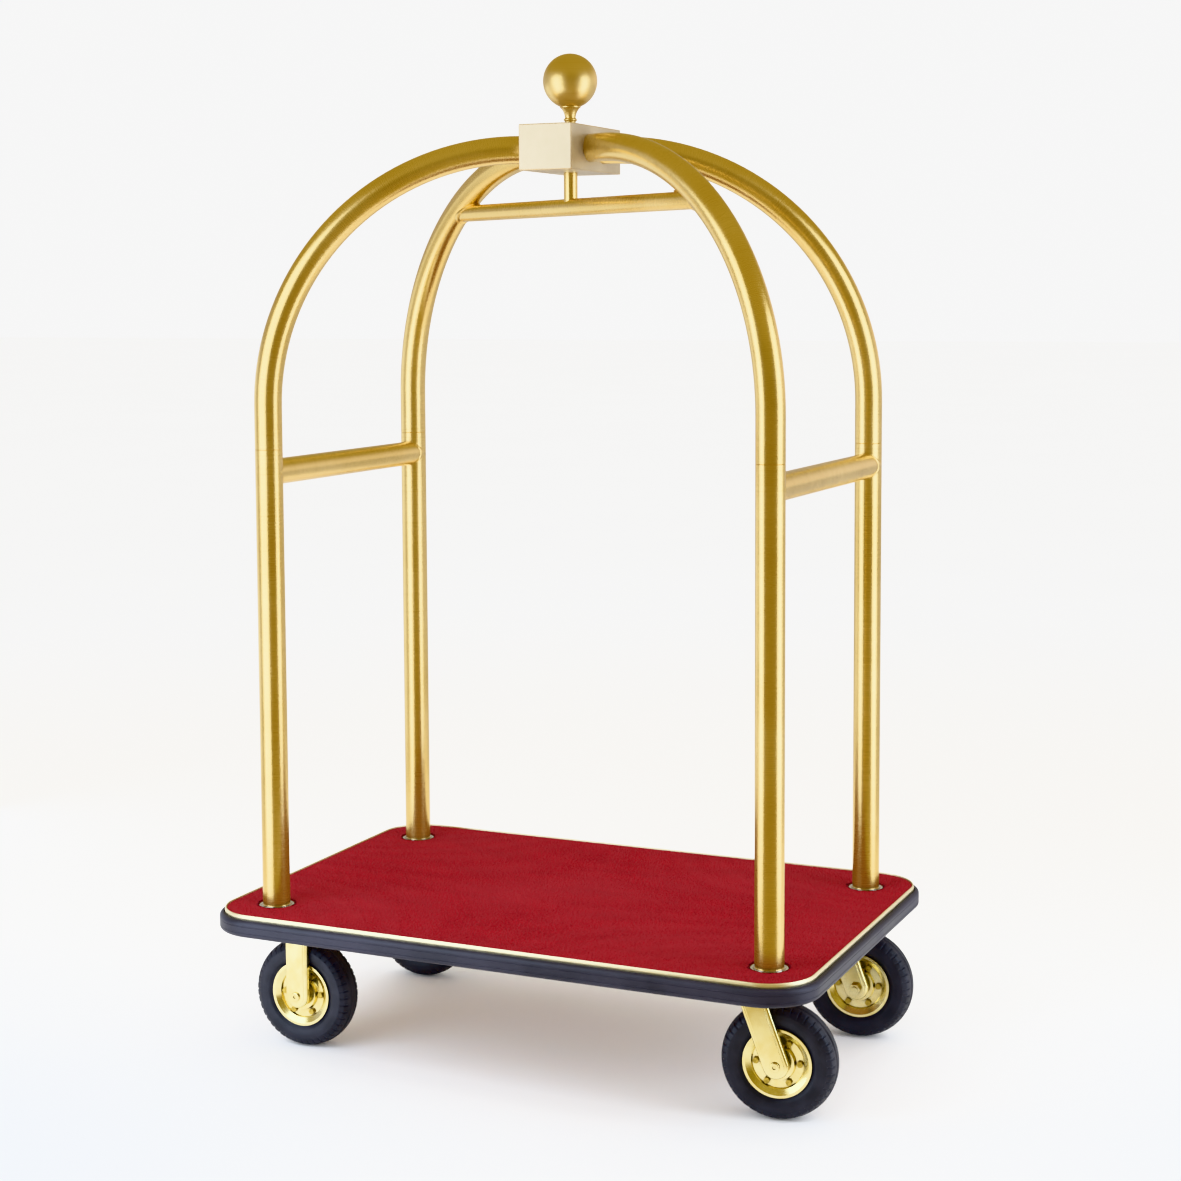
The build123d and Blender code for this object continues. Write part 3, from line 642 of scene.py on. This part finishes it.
def build_bumper():
    """Extruded rubber section: rounded nose, two fine grooves, and a channel against the trim."""
    gap = 0.3 * MM
    nose = bumper_high.x - deck_half_length
    low, high = bumper_low.z, bumper_high.z
    foot, brow = 6.5 * MM, 8.0 * MM
    under = quarter_round((nose - foot, low), (nose - foot, low + foot), (nose, low + foot), 8)
    over = quarter_round((nose, high - brow), (nose - brow, high - brow), (nose - brow, high), 10)
    grooves = []
    for z in (low + foot + 2.5 * MM, high - brow - 2.5 * MM):
        grooves += shallow_groove(nose, z, 1.6 * MM, 0.48 * MM)
    inner = trim_thickness + gap
    channel = [(inner + 1.6 * MM, high - 0.4 * MM), (inner + 1.1 * MM, high - 2.4 * MM),
               (inner + 0.2 * MM, high - 3.0 * MM), (inner, high - 4.5 * MM)]
    ledge = trim_low.z - gap
    heel = [(inner, ledge), (gap, ledge), (gap, low + 1.5 * MM), (1.8 * MM, low)]
    points, faces = loft_round_deck([*under, *grooves, *over, *channel, *heel])
    bumper = make_piece("bumper_band", points, faces, bumper_rubber(), "root")
    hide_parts("bumper")


# ---- tyres ----

SEAT_RADIUS = 58 * MM
BEAD_RADIUS = 61.5 * MM
WIDEST_RADIUS = 78 * MM
RIB_RADII = (68 * MM, 86 * MM)
RIB_HALF_WIDTH = 1.4 * MM
RIB_HEIGHT = 0.5 * MM
TREAD_BLOCKS = 44
STEPS_PER_BLOCK = 12
TREAD_SHOULDER = 6.5 * MM
TREAD_DEPTH = 13 * MM
GROOVE_ACROSS = 8.5 * MM
GROOVE_HALF_WIDTH = 1.7 * MM
GROOVE_CUT = 1.8 * MM
NOTCH_ACROSS = 14 * MM
NOTCH_RUN_IN = 3 * MM
NOTCH_HALF_SHARE = 0.13
NOTCH_CUT = 1.7 * MM


def raise_ribs(radius, across):
    """Lets two low rings stand proud of each sidewall, within the tyre's width."""
    if any(abs(radius - rib) < RIB_HALF_WIDTH for rib in RIB_RADII):
        across += RIB_HEIGHT if across >= 0 else -RIB_HEIGHT
    return radius, max(-tyre_half_width, min(tyre_half_width, across))


def tyre_profile():
    """(radius, across) points round the tyre's section, from the rim seat over the tread."""
    bead = tyre_half_width - 8 * MM
    bead_top = (BEAD_RADIUS, tyre_half_width - 6.5 * MM)
    shoulder = (tyre_radius - TREAD_SHOULDER, tyre_half_width - 5.5 * MM)
    wall = arc_through(bead_top, (WIDEST_RADIUS, tyre_half_width), shoulder, 16)
    tread = arc_through(shoulder, (tyre_radius, 0.0), (shoulder[0], -shoulder[1]), 40)
    far_wall = [(r, -a) for r, a in reversed(wall)]
    ribbed, far_ribbed = [[raise_ribs(r, a) for r, a in side] for side in (wall, far_wall)]
    return [(SEAT_RADIUS, -bead), (SEAT_RADIUS, bead), *ribbed, *tread[1:-1], *far_ribbed]


def tread_cut(radius, across, phase):
    """How far the surface sinks at a place on the tread: two round grooves and shoulder notches,
    one notch a block, with the two sides out of step."""
    if radius < tyre_radius - TREAD_DEPTH:
        return 0.0
    side = abs(across)
    cut = GROOVE_CUT if abs(side - GROOVE_ACROSS) < GROOVE_HALF_WIDTH else 0.0
    notch = 0.3 if across > 0 else 0.8
    away = abs((phase - notch + 0.5) % 1 - 0.5)
    if away < NOTCH_HALF_SHARE and side > NOTCH_ACROSS:
        cut = max(cut, NOTCH_CUT * min(1.0, (side - NOTCH_ACROSS) / NOTCH_RUN_IN))
    return cut


def make_tyre(name, material):
    """One tyre about the Y axis, on the body of its wheel."""
    profile = tyre_profile()
    steps = TREAD_BLOCKS * STEPS_PER_BLOCK
    points = []
    for i in range(steps):
        phase = i / STEPS_PER_BLOCK
        angle = 2 * pi * i / steps
        for radius, across in profile:
            r = radius - tread_cut(radius, across, phase)
            points.append((r * sin(angle), across, r * cos(angle)))
    faces = grid_faces(steps, len(profile))
    return make_piece("tyre_band_" + name, points, faces, material, "wheel_" + name)


def build_tyres():
    rubber = tyre_rubber()
    for joint in frame["joints"]:
        if not joint["child"].startswith("wheel_"):
            continue
        name = joint["child"].removeprefix("wheel_")
        tyre = make_tyre(name, rubber)
        turn = Vector((0, 1, 0)).rotation_difference(Vector(joint["axis"]))
        tyre.matrix_world = Matrix.Translation(joint["pos_m"]) @ turn.to_matrix().to_4x4()
        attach(tyre, "wheel_" + name)
        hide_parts("tyre_" + name)


# ---- studio ----

SURROUND = 1.5
FLOOR_TONE = 0.9
FLOOR_SIZE = 60.0
FLOOR_STEPS = 8
COOL_LIGHT = (0.61, 0.75, 1.0)
SOFT_BOX_RADIANCE = 4.3

# What the metal mirrors, by direction. The front is where the viewer stands.
TOWARDS_FRONT = (0.42, -0.907, 0.0)
TOWARDS_BACK = (0.42, 0.907, 0.0)
WALL_GREY = (0.60, 0.58, 0.60, 1)
WALL_WARM_DARK = (0.31, 0.23, 0.03, 1)
WALL_GLOW = (1.0, 0.95, 0.95, 1)
CEILING = (0.48, 0.39, 0.13, 1)
FLOOR_PAINTED_WARM_TINT = (0.95, 0.92, 0.87, 1)
FLOOR_FAR_GREY = (0.46, 0.45, 0.46, 1)
FLOOR_WARM_DARK = (0.27, 0.20, 0.05, 1)


def make_floor():
    """A pale matt floor, which metal sees bright near the cart and darker further off."""
    finish = Finish("studio_floor")
    tone = finish.fit(finish.noise(0.6, 3.0), 0.3, 0.7)
    colour = finish.mix(tone, grey(FLOOR_TONE - 0.01), grey(FLOOR_TONE + 0.01))
    away = finish.length(finish.x, finish.y)
    ahead = finish.along(finish.place, TOWARDS_FRONT)
    in_front = finish.fit(finish.math("DIVIDE", ahead, away), 0.35, 0.75)
    # Painted warm tint, offsetting the bluish light of the cool soft boxes on the floor: full within 1 m
    # of the centre, fading to the plain floor colour by 6 m.
    colour = finish.mix(finish.fit(away, 1.0, 6.0), FLOOR_PAINTED_WARM_TINT, colour)
    mirrored = finish.mix(finish.fit(away, 1.0, 2.6), colour, FLOOR_FAR_GREY)
    dark = finish.times(finish.fit(away, 0.6, 1.1), in_front)
    mirrored = finish.mix(dark, mirrored, FLOOR_WARM_DARK)
    colour = finish.mix(finish.ray_is("Glossy"), colour, mirrored)
    finish.set(Base_Color=colour, Roughness=0.7, Specular_IOR_Level=0.1)
    line = np.linspace(-FLOOR_SIZE, FLOOR_SIZE, FLOOR_STEPS)
    points = [(x, y, 0.0) for x in line for y in line]
    corners = [i * FLOOR_STEPS + k for i in range(FLOOR_STEPS - 1) for k in range(FLOOR_STEPS - 1)]
    faces = [(n, n + FLOOR_STEPS, n + FLOOR_STEPS + 1, n + 1) for n in corners]
    mesh = bpy.data.meshes.new("floor")
    mesh.from_pydata(points, [], faces)
    mesh.materials.append(finish.material)
    floor = bpy.data.objects.new("floor", mesh)
    bpy.context.scene.collection.objects.link(floor)


def make_light(name, place, target, width, height, radiance, colour=(1, 1, 1)):
    """A soft box: a rectangle of even brightness that faces its target and isn't seen itself."""
    lamp = bpy.data.lights.new(name, "AREA")
    lamp.shape = "RECTANGLE"
    lamp.size, lamp.size_y = width, height
    lamp.energy = radiance * pi * width * height
    lamp.color = colour
    light = bpy.data.objects.new(name, lamp)
    bpy.context.scene.collection.objects.link(light)
    light.location = place
    aim = Vector(target) - Vector(place)
    light.rotation_mode = "QUATERNION"
    light.rotation_quaternion = aim.to_track_quat("-Z", "Y")
    light.visible_camera = False
    return light


def make_lights():
    """Two tall soft boxes light the cart's near sides, with a dim one at the left and one overhead."""
    make_light("soft_box_left", (-0.90, -1.30, 1.10), (-0.40, 0.2, 1.0), 1.15, 2.2,
               SOFT_BOX_RADIANCE, COOL_LIGHT)
    make_light("soft_box_right", (1.95, -0.02, 1.10), (0.45, 0.05, 1.0), 1.05, 2.2,
               SOFT_BOX_RADIANCE, COOL_LIGHT)
    make_light("soft_box_back", (-2.4, 0.3, 0.8), (0, 0, 0.9), 1.6, 1.5, 0.8, COOL_LIGHT)
    overhead = make_light("overhead", (0.3, -0.6, 4.6), (0, 0, 0), 2.0, 2.0, 2.0)
    overhead.visible_glossy = False


def make_world():
    """White all round to the eye and for matt surfaces. Metal sees a warm dark room at the front,
    a paler one behind, and a dim ceiling."""
    world = bpy.data.worlds.new("studio")
    bpy.context.scene.world = world
    world.use_nodes = True
    nodes = Nodes(world.node_tree)
    direction = nodes.node("TexCoord").outputs["Generated"]
    height = nodes.node("SeparateXYZ", Vector=direction).outputs["Z"]
    frontness = nodes.along(direction, TOWARDS_FRONT)
    backness = nodes.along(direction, TOWARDS_BACK)
    room = nodes.mix(nodes.fit(frontness, 0.0, 0.5), WALL_GREY, WALL_WARM_DARK)
    room = nodes.mix(nodes.fit(backness, 0.8, 0.97), room, WALL_GLOW)
    room = nodes.mix(nodes.fit(height, 0.15, 0.5), room, CEILING)
    light = nodes.mix(nodes.ray_is("Glossy"), grey(SURROUND), room)
    light = nodes.mix(nodes.ray_is("Camera"), light, grey(SURROUND * FLOOR_TONE))
    nodes.feed(nodes.tree.nodes["Background"].inputs["Color"], light)


def make_camera():
    """Eye height and distance of a person standing at the cart's front right."""
    place = Vector((1.6953, -3.6688, 1.4076))
    yaw, down, roll = 0.4245, 0.0864, -0.0049
    focal_in_widths = 1.8426
    forward = Vector((-sin(yaw) * cos(down), cos(yaw) * cos(down), -sin(down)))
    level = Vector((cos(yaw), sin(yaw), 0))
    above = level.cross(forward)
    right = cos(roll) * level + sin(roll) * above
    top = cos(roll) * above - sin(roll) * level
    lens = bpy.data.cameras.new("camera")
    lens.sensor_width = 36.0
    lens.lens = focal_in_widths * lens.sensor_width
    lens.shift_y = -0.09
    lens.clip_end = 200.0
    camera = bpy.data.objects.new("camera", lens)
    bpy.context.scene.collection.objects.link(camera)
    turn = Matrix((right, top, -forward)).transposed().to_4x4()
    camera.matrix_world = Matrix.Translation(place) @ turn
    bpy.context.scene.camera = camera


dress_frame()
build_carpet()
build_trim()
build_bumper()
build_tyres()
make_floor()
make_lights()
make_world()
make_camera()
